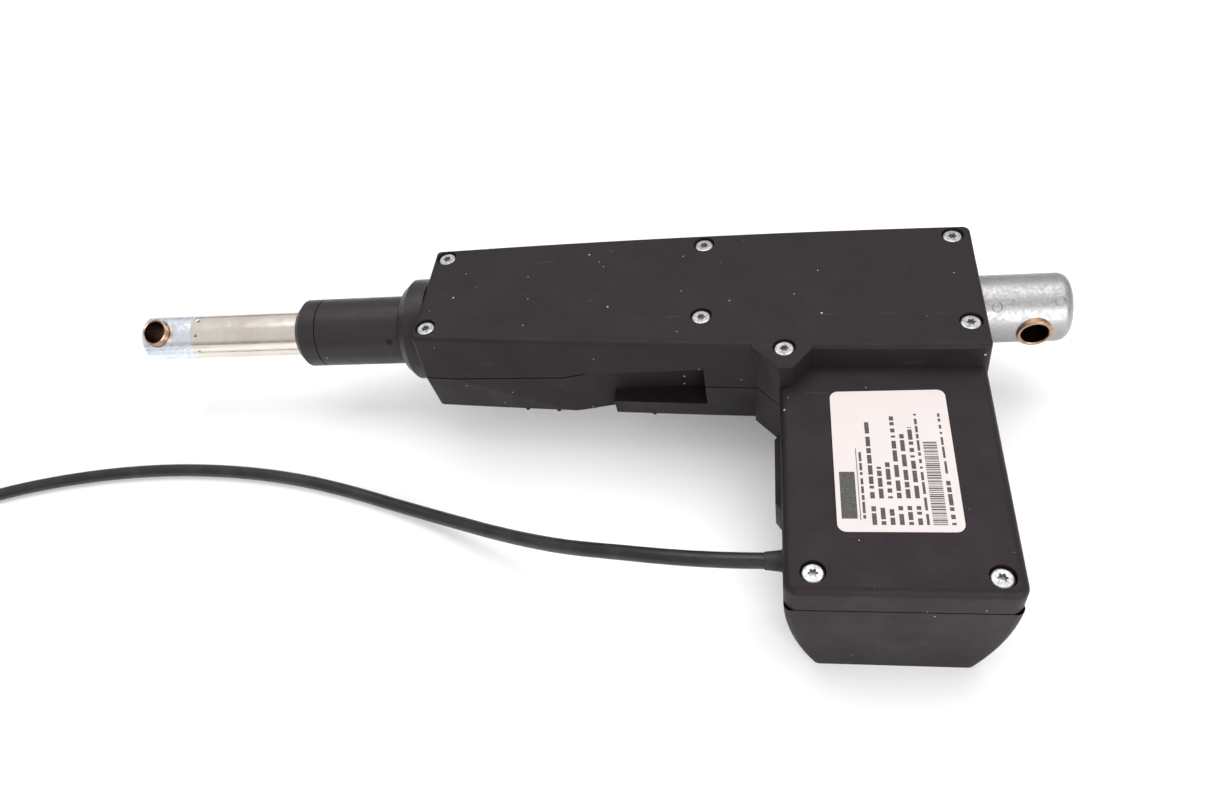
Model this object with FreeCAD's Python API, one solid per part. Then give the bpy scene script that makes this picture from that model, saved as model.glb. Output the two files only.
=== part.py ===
import FreeCAD, Part
import math
import os

# Linear actuator: a straight housing with a thrust tube, and a gear motor that stands out
# sideways from the rear of the housing.
# Frame: origin at the centre of the rear mounting bore, +X the way the rod pushes,
# +Y from the spindle towards the motor's end, +Z from the spindle to the cover. Millimetres.

# ---- driving dimensions -------------------------------------------------------------------
# housing along X
HOUSING_REAR = 21.7
HOUSING_FRONT = 246.7
COVER_TOP = 22.3
BODY_BOTTOM = -22.3
WALL = 3.0
WALL_DRAFT = 2.2
BOTTOM_INSET = 3.0
FAR_REAR_Y = -25.6
FAR_MID_Y = -27.8
FAR_FRONT_Y = -26.3
NEAR_REAR_Y = 40.3
NEAR_MID_Y = 35.0
NEAR_FRONT_Y = 26.6
MID_X = 134.2

TOP_EDGE_R = 1.8
REAR_CORNER_R = 3.0
FRONT_CORNER_R = 2.0

# motor housing
MOTOR_X = 60.3
MOTOR_HALF_WIDTH = 37.6
MOTOR_START_Y = 20.0
MOTOR_END_Y = 134.4
LID_TOP = 12.4
LID_CORNER_R = 4.5
LID_EDGE_R = 3.0
TABLE_Z = -40.5
GEAR_END_Y = -22.0
# how far the lower motor housing's sides have come in, half way down and at the bottom
SIDE_MIDDLE = (2.4, -20.0)
SIDE_BOTTOM_INSET = 9.6

# web between the two housings, seen from above
GUSSET = [(85.2, 30.0), (85.2, 38.0), (92.9, 48.1), (97.8, 48.1), (107.8, 37.2), (107.8, 30.0)]

# side recess: shallow at the front, with a deep pocket over a sill at its rear end
SCOOP_REAR = 127.0
SCOOP_FRONT = 240.0
SCOOP_TOP_Z = 9.5
POCKET_FRONT = 166.0
POCKET_FLOOR_Z = -12.6
POCKET_FLOOR_Y = 26.0
SCOOP_FLOOR = [(SCOOP_REAR, POCKET_FLOOR_Y), (160.0, POCKET_FLOOR_Y), (186.0, 30.9), (SCOOP_FRONT, 29.8)]
NUBS = [(206.0, 28.6), (192.0, 29.7), (150.0, 32.4)]
NUB_R = 1.0

# drive line
WORM_AXIS_Z = -14.0
GEAR_MODULE = 1.0
WHEEL_TEETH = 20
WORM_PITCH_R = 4.0
WHEEL_PITCH_R = GEAR_MODULE * WHEEL_TEETH / 2
WHEEL_FACE = 8.0
TOOTH_PLAY = 0.30
WORM_HALF = 11.0
WORM_PHASE = -90.0
SPINDLE_R = 6.0
JOURNAL_R = 5.0
SPINDLE_END = 275.0
SHAFT_R = 3.0
BEARING_R = 13.0
BEARING_W = 8.0
REAR_BEARING_X = 37.5
FRONT_BEARING_X = 76.0
BALL_CIRCLE_R = 9.0
BALL_R = 2.35
BALL_COUNT = 8
BLOCK_HALF = 18.8

# motor
MOTOR_R = 20.0
CAN_WALL = 1.6
CAN_START_Y = 48.0
CAN_END_Y = 116.0
CORE_R = 15.0
SLOT_COUNT = 8
BUSH_OUTER_R = 5.0

# rear fixture; its bush stands out further on the motor's side
FIXTURE_R = 13.5
FIXTURE_REAR = -14.2
FIXTURE_END_R = 4.5
FIXTURE_FLANGE_R = 18.0
FLANGE_REAR = 27.0
BUSH_R = 6.6
BUSH_FAR_Y = -12.0
BUSH_NEAR_Y = 14.5

# thrust tube and rod, with the rod 54 mm out of its 150 mm stroke
TUBE_START = 92.0
TUBE_END = 298.9
TUBE_R = 15.0
TUBE_BORE_R = 12.5
ROD_R = 10.0
ROD_BORE_R = 7.5
NOSE_END = 309.5
COLLAR_R = 22.0
COLLAR_END = 259.5
ROD_SEAM = 362.9
NUT_REAR = 146.0
NUT_LENGTH = 25.0
EYE_X = 379.6
EYE_TILT = 60.0
EYE_END = 389.5
EYE_CHAMFER = 2.5
EYE_FLAT = 9.2
EYE_BUSH_R = 5.9
EYE_BUSH_HALF = 12.2
PIN_R = 5.05
RUNNING = 0.05

# screws: x, y and the height of the seat under the head
SCREW_HEAD_R = 4.0
SCREW_HEAD_H = 2.6
SHANK_R = 2.0
SHANK_LENGTH = 25.0
COUNTERBORE_R = 4.3
COVER_SEAT = 19.0
LID_SEAT = 8.9
COVER_SCREWS = [
    (241.0, -21.3),
    (241.5, 20.6),
    (128.0, -22.0),
    (127.7, 19.7),
    (28.9, -20.3),
    (28.0, 27.3),
    (95.9, 37.7),
]
LID_SCREWS = [(88.3, 126.9), (30.5, 127.8)]
ALL_SCREWS = COVER_SCREWS + LID_SCREWS

# cord: centre of the exit, then the points of its route to the coil
CORD_R = 2.85
FLOOR_CORD_Z = TABLE_Z + CORD_R
GROMMET_FACE_X = 104.0
CORD_Y = 116.0
GROMMET_R = 4.2
CORD_ROUTE = [
    (GROMMET_FACE_X, CORD_Y, 0.0),
    (118.0, CORD_Y, 0.0),
    (137.0, 113.8, -2.0),
    (157.0, 109.0, -7.0),
    (180.0, 102.4, -14.8),
    (205.0, 92.2, -24.2),
    (232.0, 80.2, -32.8),
    (259.0, 70.2, -37.0),
    (285.0, 61.8, FLOOR_CORD_Z),
    (312.0, 55.0, FLOOR_CORD_Z),
    (342.0, 50.6, FLOOR_CORD_Z),
    (374.0, 49.0, FLOOR_CORD_Z),
    (404.0, 50.6, FLOOR_CORD_Z),
    (432.0, 54.6, FLOOR_CORD_Z),
    (458.0, 60.6, FLOOR_CORD_Z),
    (481.0, 68.6, FLOOR_CORD_Z),
    (502.2, 77.9, FLOOR_CORD_Z),
]
# the coil's outer shape holds two turns on the surface and one on top of them
COIL_CENTRE = (488.5, 108.8)
COIL_MEAN_R = 31.2
COIL_HEIGHT = 10.7
PLUG_R = 5.5
PLUG_Z = TABLE_Z + PLUG_R
PLUG_TAPER = 12.0
PLUG_LENGTH = 34.0
CONTACT_R = 3.15
CONTACT_LENGTH = 22.0
TAIL_ROUTE = [
    (515.5, 124.4, TABLE_Z + 7.8),
    (509.4, 136.4, TABLE_Z + 9.8),
    (500.6, 147.6, PLUG_Z),
    (490.6, 156.0, PLUG_Z),
]

V = FreeCAD.Vector
ORIGIN = V(0, 0, 0)
EX = V(1, 0, 0)
EY = V(0, 1, 0)
EZ = V(0, 0, 1)
MOTOR_AXIS = V(MOTOR_X, 0, WORM_AXIS_Z)


# ---- helpers ------------------------------------------------------------------------------
def save(name, shape):
    """Writes one node, after checking that its solids are valid."""
    if not shape.isValid():
        print("INVALID", name)
    shape.exportStep("parts/" + name + ".step")
    print(name, "solids", len(shape.Solids), "volume", round(shape.Volume, 1))
    return shape


def rod(radius, start, end, axis=EX, centre=ORIGIN):
    """A cylinder along an axis from one coordinate to another."""
    return Part.makeCylinder(radius, end - start, centre + axis * start, axis)


def ring(outer, inner, start, end, axis=EX, centre=ORIGIN):
    """A tube along an axis from one coordinate to another."""
    return rod(outer, start, end, axis, centre).cut(rod(inner, start - 1, end + 1, axis, centre))


def block(x0, x1, y0, y1, z0, z1):
    return Part.makeBox(x1 - x0, y1 - y0, z1 - z0, V(x0, y0, z0))


def plate(corners, depth):
    """A flat polygon with these corners, extruded by a vector."""
    return Part.Face(Part.makePolygon(corners + corners[:1])).extrude(depth)


def prism(points, z0, z1):
    """A polygon in XY, extruded from z0 to z1."""
    return plate([V(x, y, z0) for x, y in points], EZ * (z1 - z0))


def revolve(profile, centre=ORIGIN):
    """A closed profile of (x, radius) points turned about the X axis."""
    corners = [centre + V(x, r, 0) for x, r in profile]
    face = Part.Face(Part.makePolygon(corners + corners[:1]))
    return face.revolve(centre, EX, 360)


def soften(shape, radius, pick):
    """Rounds the edges whose centre passes the test, and keeps the sharp shape if that fails."""
    edges = [e for e in shape.Edges if pick(e)]
    try:
        rounded = shape.makeFillet(radius, edges)
        if rounded.isValid() and rounded.Volume > 0:
            return rounded
    except Exception:
        pass
    print("kept sharp:", radius, len(edges), "edges")
    return shape


# ---- housing shells -----------------------------------------------------------------------
def body_outline(z, spread):
    """The housing seen from above at height z, its side walls moved out by spread."""
    far = [
        V(HOUSING_REAR, FAR_REAR_Y - spread, z),
        V(MID_X, FAR_MID_Y - spread, z),
        V(HOUSING_FRONT, FAR_FRONT_Y - spread, z),
    ]
    near = [
        V(HOUSING_FRONT, NEAR_FRONT_Y + spread, z),
        V(MID_X, NEAR_MID_Y + spread, z),
        V(HOUSING_REAR, NEAR_REAR_Y + spread, z),
    ]
    return Part.Wire([
        Part.Arc(*far).toShape(),
        Part.LineSegment(far[2], near[0]).toShape(),
        Part.Arc(*near).toShape(),
        Part.LineSegment(near[2], far[0]).toShape(),
    ])


def body_block(z_low, spread_low, z_high, spread_high):
    """The straight housing between two heights, with drafted side walls."""
    wires = [body_outline(z_low, spread_low), body_outline(z_high, spread_high)]
    return Part.makeLoft(wires, True, True)


def end_limits(inset):
    """The slab that keeps the ends of the housing's hollow one wall inside its outer ends."""
    return block(HOUSING_REAR + inset, HOUSING_FRONT - inset, -60, 200, -60, 60)


def motor_box(inset, z0, z1):
    """The motor housing's plan between two heights, all its sides moved in."""
    half = MOTOR_HALF_WIDTH - inset
    return block(MOTOR_X - half, MOTOR_X + half, MOTOR_START_Y, MOTOR_END_Y - inset, z0, z1)


def round_corners(body):
    """Rounds the straight housing's upright corners, more at the rear than at the front."""
    body = soften(body, REAR_CORNER_R, lambda e: upright(e) and e.BoundBox.XMax < HOUSING_REAR + 1)
    return soften(body, FRONT_CORNER_R, lambda e: upright(e) and e.BoundBox.XMin > HOUSING_FRONT - 1)


def upright(edge):
    return edge.BoundBox.ZLength > 15


def upper_outer():
    """The cover over the straight housing and the lid over the motor, as one solid."""
    body = round_corners(body_block(0, WALL_DRAFT, COVER_TOP, 0))
    body = soften(body, TOP_EDGE_R, lambda e: e.BoundBox.ZMin > COVER_TOP - 0.01)
    body = body.fuse(prism(GUSSET, 0, COVER_TOP))
    motor = motor_box(0, 0, LID_TOP)
    motor = soften(motor, LID_CORNER_R, lambda e: e.BoundBox.ZLength > 1 and e.BoundBox.YMin > 100)
    motor = soften(motor, LID_EDGE_R, lambda e: e.BoundBox.ZMin > LID_TOP - 0.01 and e.BoundBox.YMax > 25)
    return body.fuse(motor).removeSplitter()


def upper_hollow():
    body = body_block(-1, WALL_DRAFT - WALL, COVER_TOP - WALL, -WALL).common(end_limits(WALL))
    return body.fuse(motor_box(WALL, -1, LID_TOP - WALL))


def motor_section(inset, y):
    """The lower motor housing's section: its sides curve in to a narrower flat bottom."""
    half = MOTOR_HALF_WIDTH - inset
    middle_inset, middle_z = SIDE_MIDDLE
    right = [
        V(MOTOR_X + half, y, 0),
        V(MOTOR_X + half - middle_inset, y, middle_z),
        V(MOTOR_X + half - SIDE_BOTTOM_INSET, y, TABLE_Z + inset),
    ]
    left = [V(2 * MOTOR_X - p.x, y, p.z) for p in right]
    return Part.Wire([
        Part.Arc(*right).toShape(),
        Part.LineSegment(right[2], left[2]).toShape(),
        Part.Arc(left[2], left[1], left[0]).toShape(),
        Part.LineSegment(left[0], right[0]).toShape(),
    ])


def motor_trough(inset):
    """The lower motor housing as a solid, with its inner end sloped up under the gear."""
    length = MOTOR_END_Y - GEAR_END_Y - 2 * inset
    trough = Part.Face(motor_section(inset, GEAR_END_Y + inset)).extrude(EY * length)
    slope = plate([
        V(0, GEAR_END_Y - 1, BODY_BOTTOM + 1),
        V(0, GEAR_END_Y - 1, -60),
        V(0, GEAR_END_Y + 17, -60),
        V(0, GEAR_END_Y + 13, TABLE_Z),
    ], EX * 130)
    slope.translate(V(0, inset, inset))
    return trough.cut(slope)


def lower_outer():
    """The lower half of both housings as one solid."""
    body = round_corners(body_block(BODY_BOTTOM, WALL_DRAFT - BOTTOM_INSET, 0, WALL_DRAFT))
    body = soften(body, 1.5, lambda e: e.BoundBox.ZMax < BODY_BOTTOM + 0.01)
    trough = motor_trough(0)
    trough = soften(trough, 2.5, lambda e: e.BoundBox.ZLength > 20 and e.BoundBox.YMin > MOTOR_END_Y - 1)
    return body.fuse(prism(GUSSET, BODY_BOTTOM, 0)).fuse(trough).removeSplitter()


def lower_hollow():
    body = body_block(BODY_BOTTOM + WALL, WALL_DRAFT - BOTTOM_INSET - WALL, 1, WALL_DRAFT - WALL)
    return body.common(end_limits(WALL)).fuse(motor_trough(WALL))


def scoop():
    """The recess in the near wall, under an edge that rises towards its rear end."""
    plan = prism(SCOOP_FLOOR + [(SCOOP_FRONT, 60), (SCOOP_REAR, 60)], -60, 60)
    side = plate([
        V(SCOOP_REAR, 0, SCOOP_TOP_Z),
        V(SCOOP_FRONT, 0, 0),
        V(SCOOP_FRONT, 0, -60),
        V(SCOOP_REAR, 0, -60),
    ], EY * 80)
    sill = block(SCOOP_REAR - 1, POCKET_FRONT, 0, 80, -60, POCKET_FLOOR_Z)
    return plan.common(side).cut(sill)


def scoop_backing():
    """The inner skin behind the recess, which keeps the wall's thickness there."""
    skin = [(x, y - WALL) for x, y in SCOOP_FLOOR]
    skin[0] = (SCOOP_REAR - WALL, POCKET_FLOOR_Y - WALL)
    outside_y = NEAR_REAR_Y
    outline = skin + [(SCOOP_FRONT, outside_y), (SCOOP_REAR - WALL, outside_y)]
    return prism(outline, BODY_BOTTOM, SCOOP_TOP_Z + WALL)


def screw_pillars(z_low, z_high, radius):
    pillars = [rod(radius, z_low, z_high, EZ, V(x, y, 0)) for x, y in ALL_SCREWS]
    return pillars[0].multiFuse(pillars[1:])


def screw_holes(radius, z_low, z_high):
    holes = [rod(radius, z_low, z_high, EZ, V(x, y, 0)) for x, y in ALL_SCREWS]
    return Part.makeCompound(holes)


def counterbores():
    bores = [rod(COUNTERBORE_R, COVER_SEAT, COVER_TOP + 2, EZ, V(x, y, 0)) for x, y in COVER_SCREWS]
    bores += [rod(COUNTERBORE_R, LID_SEAT, LID_TOP + 2, EZ, V(x, y, 0)) for x, y in LID_SCREWS]
    return Part.makeCompound(bores)


def openings():
    """What both shells leave free: the rear fixture, the tube's front end and the cord's grommet."""
    rear = rod(FIXTURE_R + 3 * RUNNING, 0, 60)
    front = rod(TUBE_R + 0.1, HOUSING_FRONT - 10, HOUSING_FRONT + 10)
    cord_hole = rod(GROMMET_R, 80, 120, EX, V(0, CORD_Y, 0))
    return rear.fuse(front).fuse(cord_hole)


def drive_room():
    """The room for the gear, the bearing block and the worm bush, cut out of pillars and ribs."""
    half = BLOCK_HALF + 0.5
    return flange_room().fuse(block(46, 104, -half, half, -half, half))


def flange_room():
    return rod(FIXTURE_FLANGE_R + 0.4, FLANGE_REAR - 1, 47)


def tube_room():
    return rod(TUBE_R + 0.4, TUBE_START, HOUSING_FRONT - WALL)


def upper_housing():
    outer = upper_outer()
    shell = outer.cut(upper_hollow())
    shell = shell.fuse(screw_pillars(0, COVER_TOP, 5.6).common(outer))
    shell = shell.fuse(scoop_backing().common(outer))
    clearance_holes = screw_holes(SHANK_R + 0.25, -1, COVER_TOP + 1)
    for cut in [scoop(), openings(), drive_room(), tube_room(), clearance_holes, counterbores()]:
        shell = shell.cut(cut)
    return shell


def lower_housing():
    outer = lower_outer()
    shell = outer.cut(lower_hollow())
    saddle = block(50, 70.6, -19, -13.4, TABLE_Z + 1, WORM_AXIS_Z + 7)
    motor_stop = block(45, 51, 44, 47.6, TABLE_Z + 1, -2)
    for rib in [screw_pillars(TABLE_Z + 1, 0, 5.0), scoop_backing(), saddle, motor_stop]:
        shell = shell.fuse(rib.common(outer))
    half = BLOCK_HALF + 0.5
    gear_room = block(46, 104, -13.0, half, -half, 10)
    block_room = block(70.9, 104, -half, half, -half, 10)
    worm_bush_seat = rod(6.0, -18.6, -10, EY, MOTOR_AXIS)
    motor_room = rod(MOTOR_R + 0.2, 43.5, 128, EY, MOTOR_AXIS)
    cuts = [scoop(), openings(), flange_room(), tube_room()]
    cuts += [gear_room, block_room, worm_bush_seat, motor_room]
    cuts.append(screw_holes(SHANK_R + RUNNING, -18, 1))
    for cut in cuts:
        shell = shell.cut(cut)
    nubs = [Part.makeSphere(NUB_R, V(x, y, BODY_BOTTOM + 0.4)) for x, y in NUBS]
    return shell.multiFuse(nubs)


def side_cover():
    """The small plate on the motor housing's front wall, with bevelled ends."""
    x0 = MOTOR_X + MOTOR_HALF_WIDTH - 1.2
    z0 = -14.0
    outline = [(0, 61), (0, 95), (1.5, 95), (3.4, 92), (3.4, 64), (1.5, 61)]
    cover = plate([V(x0 + out, y, z0) for out, y in outline], EZ * 13.4)
    return cover.cut(lower_outer())


def screws():
    """Pan-head screws with a star recess."""
    made = []
    seats = [COVER_SEAT] * len(COVER_SCREWS) + [LID_SEAT] * len(LID_SCREWS)
    for (x, y), seat in zip(ALL_SCREWS, seats):
        at = V(x, y, 0)
        head = rod(SCREW_HEAD_R, seat, seat + SCREW_HEAD_H, EZ, at)
        head = soften(head, 1.1, lambda e: e.BoundBox.ZMin > seat + SCREW_HEAD_H - 0.01)
        shank = rod(SHANK_R, seat - SHANK_LENGTH, seat, EZ, at)
        screw = head.fuse(shank)
        screw = screw.cut(rod(1.25, seat + 0.9, seat + 5, EZ, at))
        for k in range(6):
            a = math.radians(60 * k)
            lobe = at + V(1.3 * math.cos(a), 1.3 * math.sin(a), 0)
            screw = screw.cut(rod(0.42, seat + 0.9, seat + 5, EZ, lobe))
        made.append(screw)
    return Part.makeCompound(made)


def label():
    """The rating label on the lid, with rounded corners."""
    film = block(39.3, 79.8, 52, 112, LID_TOP, LID_TOP + 0.25)
    return soften(film, 3.0, lambda e: e.BoundBox.ZLength > 0.2)


# ---- rear fixture and bearings ------------------------------------------------------------
def rear_fixture():
    """The rear mounting lug, with a flange and the rear bearing's seat inside the housing."""
    shape = rod(FIXTURE_R, FIXTURE_REAR, 34)
    shape = soften(shape, FIXTURE_END_R, lambda e: e.BoundBox.XMax < FIXTURE_REAR + 0.1)
    shape = shape.fuse(rod(FIXTURE_FLANGE_R, FLANGE_REAR, 46))
    shape = shape.cut(rod(BEARING_R, REAR_BEARING_X, 50)).cut(rod(8.0, 33, 50))
    return shape.cut(rod(BUSH_R, -20, 20, EY))


def rear_bush():
    return mouth_chamfer(ring(BUSH_R, PIN_R, BUSH_FAR_Y, BUSH_NEAR_Y, EY))


def mouth_chamfer(shape):
    """Breaks the sharp rims of a bush."""
    rims = [e for e in shape.Edges if len(e.Vertexes) == 1]
    return shape.makeChamfer(0.4, rims)


def bearing_parts(x):
    """Outer ring, inner ring and balls of a deep groove bearing whose rear face is at x."""
    middle = V(x + BEARING_W / 2, 0, 0)
    groove = Part.makeTorus(BALL_CIRCLE_R, BALL_R + 0.1, middle, EX)
    outer = ring(BEARING_R, 10.6, x, x + BEARING_W).cut(groove)
    inner = ring(7.4, JOURNAL_R, x, x + BEARING_W).cut(groove)
    balls = []
    for k in range(BALL_COUNT):
        a = 2 * math.pi * k / BALL_COUNT
        place = V(0, BALL_CIRCLE_R * math.cos(a), BALL_CIRCLE_R * math.sin(a))
        balls.append(Part.makeSphere(BALL_R, middle + place))
    return outer, inner, balls


def bearing_block():
    """Carries the spindle's front bearing and the rear end of the outer tube."""
    shape = block(FRONT_BEARING_X - 3, 100, -BLOCK_HALF, BLOCK_HALF, -BLOCK_HALF, BLOCK_HALF)
    shape = soften(shape, 4.0, lambda e: e.BoundBox.XLength > 20)
    shape = shape.cut(rod(BEARING_R, FRONT_BEARING_X, 93)).cut(rod(9.5, 60, 110))
    return shape.cut(rod(TUBE_R, TUBE_START, 110))


# ---- spindle and worm gear ----------------------------------------------------------------
def spindle():
    """The spindle with its journals, and the shoulder that the gear sits against."""
    shape = revolve([
        (REAR_BEARING_X, 0),
        (REAR_BEARING_X, JOURNAL_R),
        (87, JOURNAL_R),
        (87, SPINDLE_R),
        (SPINDLE_END - 2, SPINDLE_R),
        (SPINDLE_END, SPINDLE_R - 2),
        (SPINDLE_END, 0),
    ])
    return shape.fuse(rod(7.0, REAR_BEARING_X + BEARING_W, MOTOR_X - WHEEL_FACE / 2)).removeSplitter()


def wheel_section(x, turn):
    """The toothed outline of the worm wheel at x, turned by an angle about the spindle."""
    tip = WHEEL_PITCH_R + 0.8 * GEAR_MODULE
    root = WHEEL_PITCH_R - 1.15 * GEAR_MODULE
    half_pitch = math.pi * GEAR_MODULE / 4 - TOOTH_PLAY / 2
    slope = math.tan(math.radians(20))
    points = []
    for k in range(WHEEL_TEETH):
        middle = turn + 2 * math.pi * k / WHEEL_TEETH - math.pi / 2
        for side in (-1, 1):
            for radius in ((root, tip) if side < 0 else (tip, root)):
                half = half_pitch - (radius - WHEEL_PITCH_R) * slope
                angle = middle + side * half / WHEEL_PITCH_R
                points.append(V(x, radius * math.cos(angle), radius * math.sin(angle)))
    return Part.makePolygon(points + points[:1])


def worm_wheel():
    """The gear on the spindle: teeth twisted to the worm's lead, and the journal's bore."""
    lead_angle = math.atan(GEAR_MODULE / (2 * WORM_PITCH_R))
    twist = math.tan(lead_angle) * WHEEL_FACE / 2 / WHEEL_PITCH_R
    x0 = MOTOR_X - WHEEL_FACE / 2
    steps = 4
    sections = []
    for k in range(steps + 1):
        share = k / steps
        sections.append(wheel_section(x0 + share * WHEEL_FACE, twist * (2 * share - 1)))
    wheel = Part.makeLoft(sections, True, True)
    return wheel.cut(rod(JOURNAL_R, x0 - 1, x0 + WHEEL_FACE + 1))


def worm():
    """A single-start worm along Y: a helical thread on a core, and the motor's shaft bore."""
    pitch = math.pi * GEAR_MODULE
    root = WORM_PITCH_R - 1.15 * GEAR_MODULE
    tip = WORM_PITCH_R + 0.8 * GEAR_MODULE
    slope = math.tan(math.radians(20))
    half_tip = pitch / 4 - TOOTH_PLAY / 2 - 0.8 * GEAR_MODULE * slope
    half_base = pitch / 4 - TOOTH_PLAY / 2 + (1.15 * GEAR_MODULE + 0.1) * slope
    length = 2 * WORM_HALF + 2 * pitch
    helix = Part.makeHelix(pitch, length, root - 0.1)
    flank = [
        V(root - 0.1, 0, -half_base),
        V(tip, 0, -half_tip),
        V(tip, 0, half_tip),
        V(root - 0.1, 0, half_base),
    ]
    profile = Part.makePolygon(flank + flank[:1])
    thread = Part.Wire(helix).makePipeShell([profile], True, True)
    thread.translate(V(0, 0, -length / 2))
    thread = thread.common(rod(tip + 1, -WORM_HALF, WORM_HALF, EZ))
    core = rod(root, -WORM_HALF, WORM_HALF, EZ)
    whole = core.fuse(thread).cut(rod(SHAFT_R - 1.0, -WORM_HALF - 1, WORM_HALF + 1, EZ))
    whole.rotate(ORIGIN, EX, -90)
    whole.rotate(ORIGIN, EY, WORM_PHASE)
    whole.translate(MOTOR_AXIS)
    return whole


# ---- motor: every piece lies along Y, on the worm's axis ------------------------------------
def motor_rod(radius, start, end):
    return rod(radius, start, end, EY, MOTOR_AXIS)


def motor_ring(outer, inner, start, end):
    return ring(outer, inner, start, end, EY, MOTOR_AXIS)


def motor_can():
    return motor_ring(MOTOR_R, MOTOR_R - CAN_WALL, CAN_START_Y, CAN_END_Y)


def motor_flange():
    """The front end plate, with the boss of the front shaft bearing."""
    disc = motor_rod(MOTOR_R, CAN_START_Y - 3.4, CAN_START_Y)
    boss = motor_rod(7.5, 38, CAN_START_Y)
    return disc.fuse(boss).cut(motor_rod(BUSH_OUTER_R, 30, 60))


def shaft_bush(start, end, outer):
    return motor_ring(outer, SHAFT_R + RUNNING, start, end)


def magnets():
    """Two arc magnets, one on each side of the can."""
    arc = motor_ring(MOTOR_R - CAN_WALL, CORE_R + 0.6, 56, 102)
    left = arc.common(block(MOTOR_X - 40, MOTOR_X - 6, 50, 110, -60, 30))
    right = arc.common(block(MOTOR_X + 6, MOTOR_X + 40, 50, 110, -60, 30))
    return Part.makeCompound([left, right])


def slot_rods(circle_r, radius, start, end):
    """A rod in each slot of the rotor."""
    rods = []
    for k in range(SLOT_COUNT):
        a = 2 * math.pi * (k + 0.5) / SLOT_COUNT
        place = MOTOR_AXIS + V(circle_r * math.sin(a), 0, circle_r * math.cos(a))
        rods.append(rod(radius, start, end, EY, place))
    return rods


def windings():
    """Copper bundles in the slots, joined by a ring of end turns at each end."""
    rear_turns = motor_ring(14.2, 5.0, 96, 101)
    front_turns = motor_ring(14.2, 5.0, 54.5, 60)
    return front_turns.multiFuse([rear_turns] + slot_rods(12.2, 1.9, 58, 98))


def armature_core():
    """The slotted rotor stack."""
    core = motor_rod(CORE_R, 60, 96)
    for slot in slot_rods(12.4, 2.2, 55, 100):
        core = core.cut(slot)
    return core.cut(motor_rod(SHAFT_R, 50, 110)).cut(windings())


def motor_shaft():
    """The shaft, thinner where it carries the worm."""
    main_part = motor_rod(SHAFT_R, 12, 122)
    neck = motor_rod(SHAFT_R - 1, -WORM_HALF, 12)
    tail = motor_rod(SHAFT_R, -18.5, -WORM_HALF)
    return main_part.fuse(neck).fuse(tail)


def commutator():
    """The copper drum, cut into bars."""
    drum = motor_ring(7.0, SHAFT_R, 102, 112)
    for k in range(SLOT_COUNT):
        slot = block(-0.3, 0.3, 101, 113, 5.8, 9.0)
        slot.rotate(ORIGIN, EY, 360 * k / SLOT_COUNT)
        slot.translate(MOTOR_AXIS)
        drum = drum.cut(slot)
    return drum


def brush_pair(half_width, start, end, inner, outer):
    """Two bars, above and below the commutator."""
    x0 = MOTOR_X - half_width
    x1 = MOTOR_X + half_width
    low = block(x0, x1, start, end, WORM_AXIS_Z - outer, WORM_AXIS_Z - inner)
    high = block(x0, x1, start, end, WORM_AXIS_Z + inner, WORM_AXIS_Z + outer)
    return Part.makeCompound([low, high])


def brush_holder():
    """The rear end cap, with two guides for the brushes."""
    cap = motor_rod(MOTOR_R, CAN_END_Y, 121).cut(motor_rod(BUSH_OUTER_R, 110, 130))
    for guide in brush_pair(3, 104, CAN_END_Y, 8, 16).Solids:
        cap = cap.fuse(guide)
    return cap.cut(brush_pair(2, 105, 110, 7, 14))


# ---- tube, nut and rod --------------------------------------------------------------------
def collar():
    """The front collar round the tube, bevelled in two steps."""
    return revolve([
        (HOUSING_FRONT, TUBE_R),
        (HOUSING_FRONT, COLLAR_R),
        (COLLAR_END - 4.8, COLLAR_R),
        (COLLAR_END - 1.3, COLLAR_R - 3),
        (COLLAR_END, COLLAR_R - 5.2),
        (COLLAR_END, TUBE_R),
    ])


def outer_tube():
    return ring(TUBE_R, TUBE_BORE_R, TUBE_START, TUBE_END)


def nose_cap():
    """The end cap screwed into the tube: a bevelled nose and a spigot behind it."""
    shoulder = TUBE_END + 0.5
    spigot = TUBE_END - 4
    bevel = 2.6
    seal_r = ROD_R + 0.6
    return revolve([
        (shoulder, ROD_R + 0.1),
        (NOSE_END, ROD_R + 0.1),
        (NOSE_END, TUBE_R - bevel),
        (NOSE_END - bevel, TUBE_R),
        (shoulder, TUBE_R),
        (shoulder, TUBE_BORE_R),
        (spigot, TUBE_BORE_R),
        (spigot, seal_r),
        (shoulder, seal_r),
    ])


def guide_bush():
    return ring(TUBE_BORE_R, ROD_R + RUNNING, TUBE_END - 21, TUBE_END - 5)


def rod_seal():
    return ring(ROD_R + 0.6, ROD_R + 0.02, TUBE_END - 3.5, TUBE_END + 0.5)


def spindle_nut():
    """The nut that slides in the tube, with a spigot pressed into the rod."""
    front = NUT_REAR + NUT_LENGTH
    body = rod(TUBE_BORE_R - 0.08, NUT_REAR, front)
    spigot = rod(ROD_BORE_R, front, front + 12)
    return body.fuse(spigot).cut(rod(SPINDLE_R + RUNNING, NUT_REAR - 1, front + 20))


def piston_rod():
    return ring(ROD_R, ROD_BORE_R, NUT_REAR + NUT_LENGTH, ROD_SEAM)


def eye_direction():
    """The direction of the eye's bore, turned about the rod from +Y towards +Z."""
    a = math.radians(EYE_TILT)
    return V(0, math.cos(a), math.sin(a))


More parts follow.
